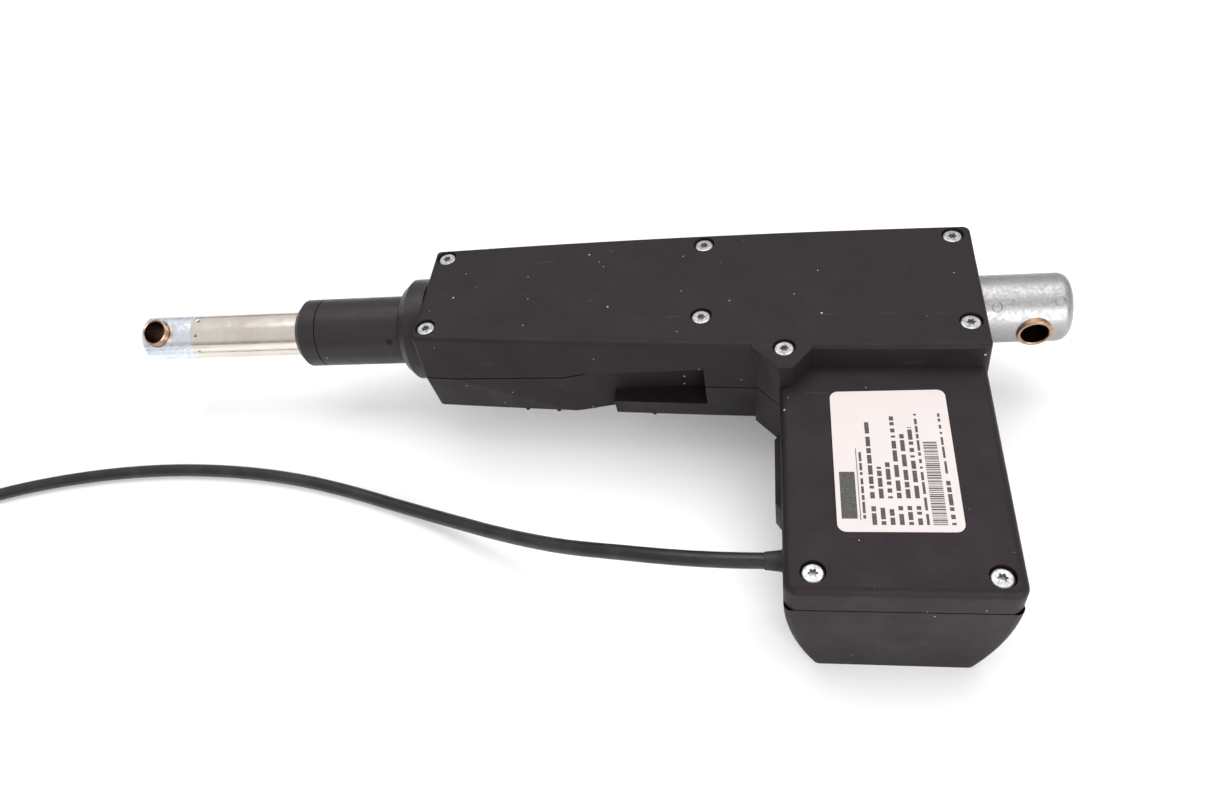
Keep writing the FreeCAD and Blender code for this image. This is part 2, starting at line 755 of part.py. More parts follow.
def rod_eye():
    """The rod's end: a plug in the tube, then an eye with two flats and a bevelled end."""
    shape = rod(ROD_R, ROD_SEAM, EYE_END)
    shape = shape.makeChamfer(EYE_CHAMFER, [e for e in shape.Edges if e.BoundBox.XMin > EYE_END - 0.01])
    for turn in (0, 180):
        cutter = Part.makeBox(40, 40, 10, V(ROD_SEAM + 7, -20, EYE_FLAT))
        cutter.rotate(ORIGIN, EX, EYE_TILT - 90 + turn)
        shape = shape.cut(cutter)
    shape = shape.fuse(rod(ROD_BORE_R, ROD_SEAM - 18, ROD_SEAM + 1))
    return shape.cut(rod(EYE_BUSH_R, -20, 20, eye_direction(), V(EYE_X, 0, 0)))


def eye_bush():
    centre = V(EYE_X, 0, 0)
    return mouth_chamfer(ring(EYE_BUSH_R, PIN_R, -EYE_BUSH_HALF, EYE_BUSH_HALF, eye_direction(), centre))


# ---- electrical pieces --------------------------------------------------------------------
def circuit_board():
    return block(136, 226, -19, 19, -18.6, -17.0)


def limit_switch(x):
    body = block(x, x + 12, -19.0, -13.5, -17.0, -11.6)
    return body.fuse(rod(0.9, -11.6, -10.9, EZ, V(x + 4, -16.4, 0)))


def grommet():
    """The rubber bush in the wall, a short taper outside it and a lip inside."""
    wall_x = MOTOR_X + MOTOR_HALF_WIDTH
    centre = V(0, CORD_Y, 0)
    lip_x = wall_x - WALL - 1.3
    return revolve([
        (wall_x - 12, CORD_R),
        (wall_x - 12, CORD_R + 1),
        (lip_x - 1.7, GROMMET_R + 1),
        (lip_x, GROMMET_R + 1),
        (lip_x, GROMMET_R),
        (wall_x + 0.2, GROMMET_R),
        (wall_x + 0.2, CORD_R + 0.9),
        (GROMMET_FACE_X, CORD_R + 0.25),
        (GROMMET_FACE_X, 0),
        (wall_x - 8, 0),
        (wall_x - 8, CORD_R),
    ], centre)


# ---- cord ---------------------------------------------------------------------------------
def cord_tube(points, radius, name):
    """A round tube along straight runs joined by tangent arcs."""
    edges = []
    start = points[0]
    radii = []
    for before, corner, after in zip(points, points[1:], points[2:]):
        run_in = (corner - before).Length
        run_out = (after - corner).Length
        u = (corner - before).normalize()
        w = (after - corner).normalize()
        turn = math.acos(max(-1.0, min(1.0, u.dot(w))))
        reach = 0.45 * min(run_in, run_out)
        bend = reach / math.tan(turn / 2)
        radii.append(round(bend, 1))
        first = corner - u * reach
        last = corner + w * reach
        inward = (w - u).normalize()
        middle = corner + inward * (bend / math.cos(turn / 2) - bend)
        edges.append(Part.LineSegment(start, first).toShape())
        edges.append(Part.Arc(first, middle, last).toShape())
        start = last
    edges.append(Part.LineSegment(start, points[-1]).toShape())
    path = Part.Wire(edges)
    direction = points[1] - points[0]
    section = Part.Wire(Part.makeCircle(radius, points[0], direction))
    tube = path.makePipeShell([section], True, True)
    print(name, "radii", radii, "length", round(path.Length, 1))
    share = tube.Volume / (math.pi * radius ** 2 * path.Length)
    print(name, "volume over section times length", round(share, 4))
    return tube


def coil():
    """The closed outer shape of the coiled part of the cord."""
    centre = V(COIL_CENTRE[0], COIL_CENTRE[1], 0)
    top = TABLE_Z + COIL_HEIGHT
    shape = ring(COIL_MEAN_R + 2 * CORD_R, COIL_MEAN_R - 2 * CORD_R, TABLE_Z, top, EZ, centre)
    return soften(shape, 2.4, lambda e: e.BoundBox.ZMin > top - 0.01 and len(e.Vertexes) == 1)


# ---- plug: lies beside the coil, on the same surface ----------------------------------------
def plug_axis():
    along = V(*TAIL_ROUTE[-1]) - V(*TAIL_ROUTE[-2])
    return V(along.x, along.y, 0).normalize()


def plug_body():
    """The moulded grip, with a tapered cord end."""
    start = V(*TAIL_ROUTE[-1])
    axis = plug_axis()
    grip = Part.makeCylinder(PLUG_R, PLUG_LENGTH - PLUG_TAPER, start + axis * PLUG_TAPER, axis)
    taper = Part.makeCone(CORD_R + 0.8, PLUG_R, PLUG_TAPER, start, axis)
    return grip.fuse(taper).removeSplitter()


def plug_tip():
    """The round contact: two sleeves and a rounded point."""
    axis = plug_axis()
    start = V(*TAIL_ROUTE[-1]) + axis * PLUG_LENGTH
    shank = Part.makeCylinder(CONTACT_R, CONTACT_LENGTH, start, axis)
    groove = ring(CONTACT_R + 1, CONTACT_R - 0.75, CONTACT_LENGTH - 2, CONTACT_LENGTH - 0.8, axis, start)
    point = Part.makeCone(CONTACT_R, 1.2, 7, start + axis * CONTACT_LENGTH, axis)
    return shank.cut(groove).fuse(point)


def main():
    os.makedirs("parts", exist_ok=True)
    save("upper_housing", upper_housing())
    save("lower_housing", lower_housing())
    save("side_cover", side_cover())
    save("housing_screws", screws())
    save("rating_label", label())
    save("rear_fixture", rear_fixture())
    save("rear_fixture_bush", rear_bush())
    rear_outer, rear_inner, rear_balls = bearing_parts(REAR_BEARING_X)
    front_outer, front_inner, front_balls = bearing_parts(FRONT_BEARING_X)
    save("rear_bearing_outer_ring", rear_outer)
    save("rear_bearing_inner_ring", rear_inner)
    save("front_bearing_outer_ring", front_outer)
    save("front_bearing_inner_ring", front_inner)
    save("bearing_balls", Part.makeCompound(rear_balls + front_balls))
    save("bearing_block", bearing_block())
    save("spindle", spindle())
    save("worm_wheel", worm_wheel())
    save("worm", worm())
    save("motor_can", motor_can())
    save("motor_flange", motor_flange())
    save("motor_front_bush", shaft_bush(38, 47, BUSH_OUTER_R))
    save("motor_rear_bush", shaft_bush(114, 121, BUSH_OUTER_R))
    save("worm_end_bush", shaft_bush(-18.5, -13.5, 6.0))
    save("motor_magnets", magnets())
    save("armature_core", armature_core())
    save("armature_windings", windings())
    save("motor_shaft", motor_shaft())
    save("commutator", commutator())
    save("brush_holder", brush_holder())
    save("carbon_brushes", brush_pair(2, 105, 110, 7.1, 14))
    save("front_collar", collar())
    save("outer_tube", outer_tube())
    save("tube_nose_cap", nose_cap())
    save("rod_guide_bush", guide_bush())
    save("rod_seal", rod_seal())
    save("spindle_nut", spindle_nut())
    save("piston_rod", piston_rod())
    save("rod_eye", rod_eye())
    save("rod_eye_bush", eye_bush())
    save("circuit_board", circuit_board())
    save("limit_switches", Part.makeCompound([limit_switch(146), limit_switch(204)]))
    save("cord_grommet", grommet())
    save("power_cord", cord_tube([V(*p) for p in CORD_ROUTE], CORD_R, "power_cord"))
    save("cord_tail", cord_tube([V(*p) for p in TAIL_ROUTE], CORD_R, "cord_tail"))
    save("cord_coil", coil())
    save("plug_body", plug_body())
    save("plug_tip", plug_tip())


if __name__ == "__main__":
    main()
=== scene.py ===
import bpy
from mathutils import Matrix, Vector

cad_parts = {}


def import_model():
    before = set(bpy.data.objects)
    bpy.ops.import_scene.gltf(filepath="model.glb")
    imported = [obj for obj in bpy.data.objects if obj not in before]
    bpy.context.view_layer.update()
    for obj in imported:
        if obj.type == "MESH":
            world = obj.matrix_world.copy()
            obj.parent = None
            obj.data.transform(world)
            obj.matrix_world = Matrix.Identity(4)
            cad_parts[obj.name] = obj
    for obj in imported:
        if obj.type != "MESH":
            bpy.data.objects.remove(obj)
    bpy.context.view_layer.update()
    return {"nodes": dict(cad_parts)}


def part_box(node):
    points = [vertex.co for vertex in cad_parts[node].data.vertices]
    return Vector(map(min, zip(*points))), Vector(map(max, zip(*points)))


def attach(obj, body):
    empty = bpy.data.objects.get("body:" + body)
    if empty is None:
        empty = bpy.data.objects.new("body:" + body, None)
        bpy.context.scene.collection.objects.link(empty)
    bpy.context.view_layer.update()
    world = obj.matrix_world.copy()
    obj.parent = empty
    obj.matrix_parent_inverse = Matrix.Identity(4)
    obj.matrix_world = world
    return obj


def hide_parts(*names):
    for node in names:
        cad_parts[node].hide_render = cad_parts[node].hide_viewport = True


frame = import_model()

import math
import bpy
from mathutils import Matrix, Vector

MM = 0.001
NODES = frame["nodes"]

# ---- sizes and places, in millimetres of the part's own frame -------------------------------
TABLE_Z = -40.5
PIN_R = 5.05
ROD_R = 10.0
ROD_SEAM = 362.9
EYE_CENTRE = (379.6, 0, 0)
EYE_AXIS = (0.0, math.cos(math.radians(60)), math.sin(math.radians(60)))
CORD_D = 5.7
CORD_R = CORD_D / 2
FLOOR_CORD_Z = TABLE_Z + CORD_R
GROMMET_FACE_X = 104.0
CORD_Y = 116.0
CORD_ROUTE = [
    (GROMMET_FACE_X, CORD_Y, 0.0),
    (118.0, CORD_Y, 0.0),
    (137.0, 113.8, -2.0),
    (157.0, 109.0, -7.0),
    (180.0, 102.4, -14.8),
    (205.0, 92.2, -24.2),
    (232.0, 80.2, -32.8),
    (259.0, 70.2, -37.0),
    (285.0, 61.8, FLOOR_CORD_Z),
    (312.0, 55.0, FLOOR_CORD_Z),
    (342.0, 50.6, FLOOR_CORD_Z),
    (374.0, 49.0, FLOOR_CORD_Z),
    (404.0, 50.6, FLOOR_CORD_Z),
    (432.0, 54.6, FLOOR_CORD_Z),
    (458.0, 60.6, FLOOR_CORD_Z),
    (481.0, 68.6, FLOOR_CORD_Z),
    (502.2, 77.9, FLOOR_CORD_Z),
]
PLUG_Z = TABLE_Z + 5.5
TAIL_ROUTE = [
    (509.4, 136.4, TABLE_Z + 9.8),
    (500.6, 147.6, PLUG_Z),
    (490.6, 156.0, PLUG_Z),
]
COIL_CENTRE = (488.5, 108.8)
COIL_START_DEG = -66.0
COIL_OUTER_R = 34.05
COIL_INNER_R = 28.35
COIL_POINTS_PER_TURN = 16
COIL_TOP_END_DEG = 30.0
# how far round, in degrees, the cord moves to the inner turn and starts to climb on top
COIL_INWARD_DEG = 225.0
COIL_CLIMB_DEG = 585.0
COIL_CHANGE_DEG = 135.0
COIL_LEAN_DEG = 120.0
# a smooth spline of this many points a turn runs inside its points by this share
COIL_SHRINK = 0.981
COIL_GAP = 0.1


# ---- camera -----------------------------------------------------------------------------------
def make_camera():
    """Looks down on the lid from beyond the motor's end, with the rod to the left."""
    data = bpy.data.cameras.new("camera")
    data.sensor_width = 36
    data.lens = 28.2
    data.clip_start = 0.01
    data.clip_end = 20
    camera = bpy.data.objects.new("camera", data)
    bpy.context.scene.collection.objects.link(camera)
    forward = Vector((0.1820, -0.6229, -0.7609)).normalized()
    up = Vector((-0.0192, -0.7759, 0.6306))
    right = forward.cross(up).normalized()
    up = right.cross(forward)
    turn = Matrix((right, up, -forward)).transposed()
    camera.matrix_world = Matrix.Translation((0.0967, 0.2825, 0.2894)) @ turn.to_4x4()
    bpy.context.scene.camera = camera


make_camera()


# ---- material helpers -------------------------------------------------------------------------
class Paint:
    """One procedural material, built on the part's own coordinates in millimetres."""

    def __init__(self, name, color, roughness, metallic=0.0, coat=0.0, specular=0.5, sheen=(1, 1, 1)):
        self.material = bpy.data.materials.new(name)
        self.material.use_nodes = True
        self.tree = self.material.node_tree
        self.shader = self.tree.nodes["Principled BSDF"]
        self.shader.inputs["Base Color"].default_value = (*color, 1)
        self.shader.inputs["Roughness"].default_value = roughness
        self.shader.inputs["Metallic"].default_value = metallic
        self.shader.inputs["Coat Weight"].default_value = coat
        self.shader.inputs["Specular IOR Level"].default_value = specular
        self.shader.inputs["Specular Tint"].default_value = (*sheen, 1)
        self.material.diffuse_color = (*color, 1)
        place = self.tree.nodes.new("ShaderNodeTexCoord")
        scale = self.tree.nodes.new("ShaderNodeVectorMath")
        scale.operation = "SCALE"
        scale.inputs["Scale"].default_value = 1000
        self.tree.links.new(place.outputs["Object"], scale.inputs[0])
        self.place = scale.outputs[0]
        split = self.tree.nodes.new("ShaderNodeSeparateXYZ")
        self.tree.links.new(self.place, split.inputs[0])
        self.x, self.y, self.z = split.outputs
        self.color = color
        self.specular = specular
        self.heights = []

    def math(self, operation, a, b=None):
        node = self.tree.nodes.new("ShaderNodeMath")
        node.operation = operation
        for slot, value in enumerate((a, b)):
            if value is None:
                continue
            if isinstance(value, (int, float)):
                node.inputs[slot].default_value = value
            else:
                self.tree.links.new(value, node.inputs[slot])
        return node.outputs[0]

    def stretched(self, factors, turn=(0, 0, 0)):
        """The coordinates scaled along each axis, then turned, for grain that runs one way."""
        node = self.tree.nodes.new("ShaderNodeMapping")
        node.inputs["Scale"].default_value = factors
        node.inputs["Rotation"].default_value = turn
        self.tree.links.new(self.place, node.inputs["Vector"])
        return node.outputs[0]

    def noise(self, size, detail=3.0, rough=0.5, at=None):
        """Noise with features about this many millimetres across, from 0 to 1."""
        node = self.tree.nodes.new("ShaderNodeTexNoise")
        node.inputs["Scale"].default_value = 1.0 / size
        node.inputs["Detail"].default_value = detail
        node.inputs["Roughness"].default_value = rough
        self.tree.links.new(at or self.place, node.inputs["Vector"])
        return node.outputs["Fac"]

    def cells(self, size):
        """Distance from the nearest of many scattered points, in units of their spacing."""
        node = self.tree.nodes.new("ShaderNodeTexVoronoi")
        node.inputs["Scale"].default_value = 1.0 / size
        self.tree.links.new(self.place, node.inputs["Vector"])
        return node.outputs["Distance"]

    def ramp(self, value, low, high, start=0.0, end=1.0):
        """Maps a range of values smoothly onto another, and holds it at the ends."""
        node = self.tree.nodes.new("ShaderNodeMapRange")
        node.interpolation_type = "SMOOTHSTEP"
        node.inputs["From Min"].default_value = low
        node.inputs["From Max"].default_value = high
        node.inputs["To Min"].default_value = start
        node.inputs["To Max"].default_value = end
        self.tree.links.new(value, node.inputs["Value"])
        return node.outputs[0]

    def band(self, value, centre, half, soft):
        """1 within half of a centre value, falling to 0 over the soft width."""
        away = self.math("ABSOLUTE", self.math("SUBTRACT", value, centre))
        return self.ramp(away, half, half + soft, 1.0, 0.0)

    def spot(self, centre, radius, soft):
        """1 within a radius of a point."""
        node = self.tree.nodes.new("ShaderNodeVectorMath")
        node.operation = "DISTANCE"
        node.inputs[1].default_value = centre
        self.tree.links.new(self.place, node.inputs[0])
        return self.ramp(node.outputs["Value"], radius, radius + soft, 1.0, 0.0)

    def distance_from_line(self, centre, direction):
        """How far a point is from a line through the centre, along a unit direction."""
        offset = self.tree.nodes.new("ShaderNodeVectorMath")
        offset.operation = "SUBTRACT"
        offset.inputs[1].default_value = centre
        self.tree.links.new(self.place, offset.inputs[0])
        across = self.tree.nodes.new("ShaderNodeVectorMath")
        across.operation = "CROSS_PRODUCT"
        across.inputs[1].default_value = direction
        self.tree.links.new(offset.outputs[0], across.inputs[0])
        length = self.tree.nodes.new("ShaderNodeVectorMath")
        length.operation = "LENGTH"
        self.tree.links.new(across.outputs[0], length.inputs[0])
        return length.outputs["Value"]

    def mix(self, share, other):
        """Blends the colour so far with another one, by a share from 0 to 1."""
        node = self.tree.nodes.new("ShaderNodeMix")
        node.data_type = "RGBA"
        node.inputs[7].default_value = (*other, 1)
        target = self.shader.inputs["Base Color"]
        if target.is_linked:
            self.tree.links.new(target.links[0].from_socket, node.inputs[6])
        else:
            node.inputs[6].default_value = (*self.color, 1)
        self.tree.links.new(share, node.inputs[0])
        self.tree.links.new(node.outputs[2], target)
        return self

    def gloss(self, value, low, high, rough_low, rough_high):
        """Roughness that follows a value."""
        roughness = self.ramp(value, low, high, rough_low, rough_high)
        self.tree.links.new(roughness, self.shader.inputs["Roughness"])
        return self

    def matt(self, share):
        """Takes the highlight away where the share is 1."""
        level = self.ramp(share, 0.0, 1.0, self.specular, 0.0)
        self.tree.links.new(level, self.shader.inputs["Specular IOR Level"])
        return self

    def add_height(self, value, millimetres):
        """One more layer of relief: how many millimetres high it is where the value is 1."""
        self.heights.append(self.math("MULTIPLY", value, millimetres * MM))
        return self

    def done(self, strength=1.0):
        """Joins the layers of relief into one bump and hands over the material."""
        if self.heights:
            total = self.heights[0]
            for height in self.heights[1:]:
                total = self.math("ADD", total, height)
            bump = self.tree.nodes.new("ShaderNodeBump")
            bump.inputs["Strength"].default_value = strength
            bump.inputs["Distance"].default_value = 1.0
            self.tree.links.new(total, bump.inputs["Height"])
            self.tree.links.new(bump.outputs[0], self.shader.inputs["Normal"])
        return self.material


def dust(paint, size=7.0, share=0.05, sparse=0.56):
    """Sparse pale specks on a dark surface."""
    picked = paint.ramp(paint.noise(size * 0.9, 1.0), sparse, sparse + 0.05)
    grain = paint.ramp(paint.cells(size), share, share + 0.02, 1.0, 0.0)
    speck = paint.math("MULTIPLY", grain, picked)
    paint.mix(speck, (0.50, 0.48, 0.46))


# ---- materials --------------------------------------------------------------------------------
def housing_plastic():
    """Moulded black plastic with a fine spark texture, a dark parting line, dust and light scuffs."""
    p = Paint("housing_plastic", (0.0130, 0.0100, 0.0110), 0.52, specular=0.22, sheen=(1.0, 0.86, 0.92))
    p.mix(p.ramp(p.noise(26, 3), 0.35, 0.7, 0.0, 0.5), (0.0165, 0.0135, 0.0140))
    p.mix(p.ramp(p.noise(0.5, 2), 0.45, 0.75, 0.0, 0.6), (0.023, 0.019, 0.020))
    scuffs = p.ramp(p.noise(2.4, 4, 0.6, p.stretched((0.10, 1.0, 1.0), (0.3, 0.2, 0.5))), 0.66, 0.74)
    p.mix(p.math("MULTIPLY", scuffs, 0.25), (0.08, 0.072, 0.070))
    seam = p.band(p.z, 0.0, 0.20, 0.12)
    p.mix(seam, (0.002, 0.002, 0.002))
    p.matt(seam)
    dust(p, 9.0, 0.034, 0.52)
    dust(p, 4.5, 0.040, 0.56)
    p.gloss(p.noise(14, 4), 0.3, 0.7, 0.47, 0.60)
    p.add_height(p.noise(0.42, 2, 0.6), 0.022)
    p.add_height(p.noise(5.0, 2, 0.5), 0.020)
    p.add_height(seam, -0.22)
    return p.done(0.8)


def zinc_screw():
    """Bright zinc plate with a little handling wear."""
    p = Paint("screw_zinc", (0.50, 0.51, 0.50), 0.36, metallic=1.0)
    p.mix(p.ramp(p.noise(1.4, 3), 0.40, 0.64, 0.0, 0.9), (0.34, 0.34, 0.33))
    p.mix(p.ramp(p.noise(0.5, 2), 0.56, 0.68, 0.0, 0.8), (0.14, 0.14, 0.13))
    p.gloss(p.noise(1.1, 3), 0.3, 0.7, 0.30, 0.50)
    p.add_height(p.noise(0.8, 3), 0.030)
    return p.done()


def cast_aluminium():
    """Die-cast metal: a speckled skin, faint flow marks and the rings left by ejector pins."""
    p = Paint("cast_metal", (0.37, 0.365, 0.375), 0.44, metallic=0.9)
    p.mix(p.ramp(p.noise(0.9, 3), 0.45, 0.75, 0.0, 0.6), (0.50, 0.475, 0.455))
    p.mix(p.ramp(p.noise(0.45, 2), 0.54, 0.70, 0.0, 0.6), (0.23, 0.225, 0.23))
    p.mix(p.ramp(p.noise(9.0, 3, 0.5, p.stretched((0.4, 1, 1))), 0.45, 0.7, 0.0, 0.5), (0.43, 0.42, 0.42))
    p.gloss(p.noise(1.6, 3), 0.3, 0.7, 0.34, 0.56)
    p.add_height(p.noise(0.6, 3), 0.035)
    for x, y, z in ((-8.5, 7.8, 11.0), (14.5, 9.0, 10.1)):
        for sign in (-1, 1):
            rim = p.math("SUBTRACT", p.spot((x, sign * y, z), 1.9, 0.2), p.spot((x, sign * y, z), 1.5, 0.2))
            p.mix(p.math("MULTIPLY", rim, 0.55), (0.22, 0.21, 0.21))
            p.add_height(rim, -0.10)
    return p.done()


def bronze():
    """Sintered bronze with a mottled tone and fine dark specks."""
    p = Paint("bronze", (0.52, 0.30, 0.13), 0.36, metallic=1.0)
    p.mix(p.ramp(p.noise(0.7, 3), 0.4, 0.7, 0.0, 0.7), (0.66, 0.42, 0.22))
    p.mix(p.ramp(p.noise(0.22, 1), 0.60, 0.70, 0.0, 0.8), (0.20, 0.10, 0.04))
    p.gloss(p.noise(1.2, 3), 0.3, 0.7, 0.28, 0.48)
    p.add_height(p.noise(0.25, 2), 0.020)
    return p.done()


def bushed_bore(name, centre, direction, radius):
    """Bronze whose bore, the part within a radius of its axis, is painted dark as shade inside the hole."""
    p = Paint(name, (0.42, 0.26, 0.17), 0.38, metallic=1.0)
    p.mix(p.ramp(p.noise(0.7, 3), 0.4, 0.7, 0.0, 0.7), (0.56, 0.38, 0.26))
    # painted shade: the bore is coloured near-black brown to stand in for the shade inside the hole
    bore = p.ramp(p.distance_from_line(centre, direction), radius + 0.02, radius + 0.12, 1.0, 0.0)
    p.mix(bore, (0.055, 0.022, 0.012))
    p.gloss(p.noise(1.2, 3), 0.3, 0.7, 0.26, 0.46)
    p.add_height(p.noise(0.3, 2), 0.018)
    return p.done()


def bearing_steel():
    """Ground and hardened steel with fine turning marks."""
    p = Paint("bearing_steel", (0.62, 0.63, 0.65), 0.20, metallic=1.0)
    p.mix(p.ramp(p.noise(1.5, 3), 0.4, 0.7, 0.0, 0.6), (0.50, 0.51, 0.53))
    p.gloss(p.noise(0.8, 3), 0.3, 0.7, 0.14, 0.28)
    p.add_height(p.noise(0.4, 2, 0.5, p.stretched((1, 0.2, 0.2))), 0.006)
    return p.done()


def machined_steel():
    """Turned steel under a film of grease."""
    p = Paint("machined_steel", (0.46, 0.45, 0.43), 0.28, metallic=1.0)
    p.mix(p.ramp(p.noise(3.0, 4), 0.4, 0.7, 0.0, 0.7), (0.32, 0.30, 0.27))
    p.gloss(p.noise(2.0, 3), 0.3, 0.7, 0.20, 0.40)
    p.add_height(p.noise(0.35, 2, 0.5, p.stretched((2.5, 0.2, 0.2))), 0.012)
    return p.done()


def gear_nylon():
    """Ivory engineering plastic, waxy and slightly stained."""
    p = Paint("gear_nylon", (0.60, 0.55, 0.42), 0.42)
    p.shader.inputs["Subsurface Weight"].default_value = 0.15
    p.shader.inputs["Subsurface Scale"].default_value = 0.002
    p.mix(p.ramp(p.noise(6.0, 4), 0.4, 0.7, 0.0, 0.7), (0.48, 0.40, 0.26))
    p.gloss(p.noise(3.0, 3), 0.3, 0.7, 0.34, 0.5)
    p.add_height(p.noise(0.6, 2), 0.012)
    return p.done()


def dark_core():
    """Stacked black electrical sheet."""
    p = Paint("dark_core", (0.05, 0.05, 0.055), 0.40, metallic=0.6)
    sheets = p.math("PINGPONG", p.y, 0.25)
    p.mix(p.ramp(sheets, 0.0, 0.06, 1.0, 0.0), (0.012, 0.012, 0.012))
    p.mix(p.ramp(p.noise(2.0, 3), 0.5, 0.7, 0.0, 0.5), (0.10, 0.09, 0.09))
    p.gloss(p.noise(1.5, 3), 0.3, 0.7, 0.32, 0.52)
    p.add_height(p.ramp(sheets, 0.0, 0.08), 0.03)
    return p.done()


def copper():
    """Enamelled copper wire in bundles."""
    p = Paint("copper", (0.72, 0.30, 0.15), 0.30, metallic=1.0, coat=0.6)
    wires = p.math("PINGPONG", p.math("ADD", p.x, p.z), 0.2)
    p.mix(p.ramp(wires, 0.0, 0.07, 0.8, 0.0), (0.22, 0.07, 0.03))
    p.gloss(p.noise(0.9, 3), 0.3, 0.7, 0.22, 0.40)
    p.add_height(p.ramp(wires, 0.0, 0.2), 0.08)
    return p.done()


def tube_black():
    """Satin black coated tube with faint turning lines and a few rub marks."""
    p = Paint("tube_black", (0.022, 0.0195, 0.0220), 0.36, specular=0.26, sheen=(1.0, 0.90, 0.97))
    p.mix(p.ramp(p.noise(12, 3), 0.4, 0.7, 0.0, 0.7), (0.027, 0.025, 0.026))
    rubs = p.ramp(p.noise(1.6, 4, 0.6, p.stretched((0.12, 1, 1))), 0.68, 0.76)
    p.mix(p.math("MULTIPLY", rubs, 0.35), (0.10, 0.095, 0.09))
    dust(p, 8.0, 0.028)
    grease = p.math("MULTIPLY", p.spot((264.5, 13.4, 6.4), 0.9, 1.0), p.ramp(p.noise(1.2, 3), 0.35, 0.55))
    p.mix(grease, (0.004, 0.004, 0.004))
    p.gloss(p.noise(5, 4), 0.3, 0.7, 0.30, 0.44)
    p.add_height(p.noise(0.5, 2, 0.5, p.stretched((2.5, 0.15, 0.15))), 0.006)
    p.add_height(p.noise(0.35, 2), 0.006)
    return p.done()


def rubber_black():
    """Soft black rubber with a dry bloom."""
    p = Paint("rubber_black", (0.018, 0.018, 0.019), 0.62)
    p.mix(p.ramp(p.noise(4.0, 4), 0.45, 0.7, 0.0, 0.7), (0.034, 0.033, 0.033))
    p.gloss(p.noise(2.0, 3), 0.3, 0.7, 0.54, 0.72)
    p.add_height(p.noise(0.4, 2), 0.020)
    return p.done()


def cord_sheath():
    """Smooth black sheath with a satin gloss and slight handling waves."""
    p = Paint("cord_sheath", (0.014, 0.013, 0.014), 0.34, specular=0.36)
    p.mix(p.ramp(p.noise(10.0, 3), 0.4, 0.7, 0.0, 0.7), (0.028, 0.027, 0.027))
    dust(p, 9.0, 0.020)
    p.gloss(p.noise(6.0, 4), 0.3, 0.7, 0.28, 0.44)
    p.add_height(p.noise(3.0, 2), 0.030)
    p.add_height(p.noise(0.3, 2), 0.006)
    return p.done()


def stainless():
    """Ground stainless rod: fine rings, warm tint, and the crimp marks behind the seam."""
    p = Paint("stainless", (0.86, 0.79, 0.72), 0.24, metallic=1.0)
    p.mix(p.ramp(p.noise(18.0, 3), 0.4, 0.7, 0.0, 0.6), (0.74, 0.67, 0.60))
    lines = p.noise(0.35, 3, 0.6, p.stretched((3.0, 0.06, 0.06)))
    p.mix(p.ramp(lines, 0.5, 0.8, 0.0, 0.35), (0.42, 0.38, 0.34))
    scratches = p.ramp(p.noise(1.1, 3, 0.6, p.stretched((0.10, 1, 1))), 0.68, 0.74)
    p.mix(p.math("MULTIPLY", scratches, 0.3), (0.35, 0.32, 0.29))
    p.gloss(p.noise(4.0, 4), 0.3, 0.7, 0.16, 0.27)
    for degrees in range(3, 363, 45):
        a = math.radians(degrees)
        centre = (ROD_SEAM - 2.8, ROD_R * math.cos(a), ROD_R * math.sin(a))
        dimple = p.spot(centre, 0.35, 0.45)
        p.mix(p.math("MULTIPLY", dimple, 0.8), (0.10, 0.09, 0.08))
        p.add_height(p.spot(centre, 0.2, 1.1), -0.35)
    p.add_height(lines, 0.004)
    return p.done()


def zinc_steel():
    """Blue-white zinc plate on the rod's eye, with dark spots low on its side and a painted shadow ring
    round the bush.
    """
    p = Paint("zinc_steel", (0.84, 0.89, 0.95), 0.28, metallic=1.0)
    p.mix(p.ramp(p.noise(2.5, 4), 0.45, 0.7, 0.0, 0.5), (0.70, 0.73, 0.78))
    p.mix(p.ramp(p.noise(7.0, 3), 0.5, 0.75, 0.0, 0.6), (0.74, 0.83, 0.95))
    low = p.ramp(p.z, -7.0, 0.5, 1.0, 0.0)
    pits = p.math("MULTIPLY", p.ramp(p.noise(1.3, 3, 0.7), 0.54, 0.62), low)
    p.mix(p.math("MULTIPLY", pits, 0.85), (0.10, 0.085, 0.07))
    # painted shadow: a dark ring on the zinc next to the bush, standing in for the shade in the gap between
    # bush and eye
    rim = p.ramp(p.distance_from_line(EYE_CENTRE, EYE_AXIS), 6.05, 6.5, 0.85, 0.0)
    p.mix(rim, (0.05, 0.045, 0.04))
    p.gloss(p.noise(1.5, 3), 0.3, 0.7, 0.22, 0.42)
    p.add_height(p.noise(1.2, 3), 0.009)
    p.add_height(pits, -0.05)
    return p.done()


def board_green():
    """Solder-masked board with copper tracks under the lacquer."""
    p = Paint("board_green", (0.010, 0.10, 0.035), 0.30, coat=0.4)
    tracks = p.ramp(p.math("PINGPONG", p.y, 1.6), 0.5, 0.6, 1.0, 0.0)
    p.mix(p.math("MULTIPLY", tracks, 0.7), (0.03, 0.20, 0.07))
    p.mix(p.ramp(p.noise(1.5, 3), 0.5, 0.7, 0.0, 0.4), (0.006, 0.06, 0.02))
    p.gloss(p.noise(2.0, 3), 0.3, 0.7, 0.24, 0.38)
    p.add_height(tracks, 0.03)
    return p.done()


def switch_plastic():
    """Grey-black moulded switch case."""
    p = Paint("switch_plastic", (0.035, 0.035, 0.04), 0.45)
    p.mix(p.ramp(p.noise(1.5, 3), 0.5, 0.7, 0.0, 0.6), (0.06, 0.06, 0.065))
    p.gloss(p.noise(1.0, 3), 0.3, 0.7, 0.38, 0.54)
    p.add_height(p.noise(0.25, 2), 0.015)
    return p.done()


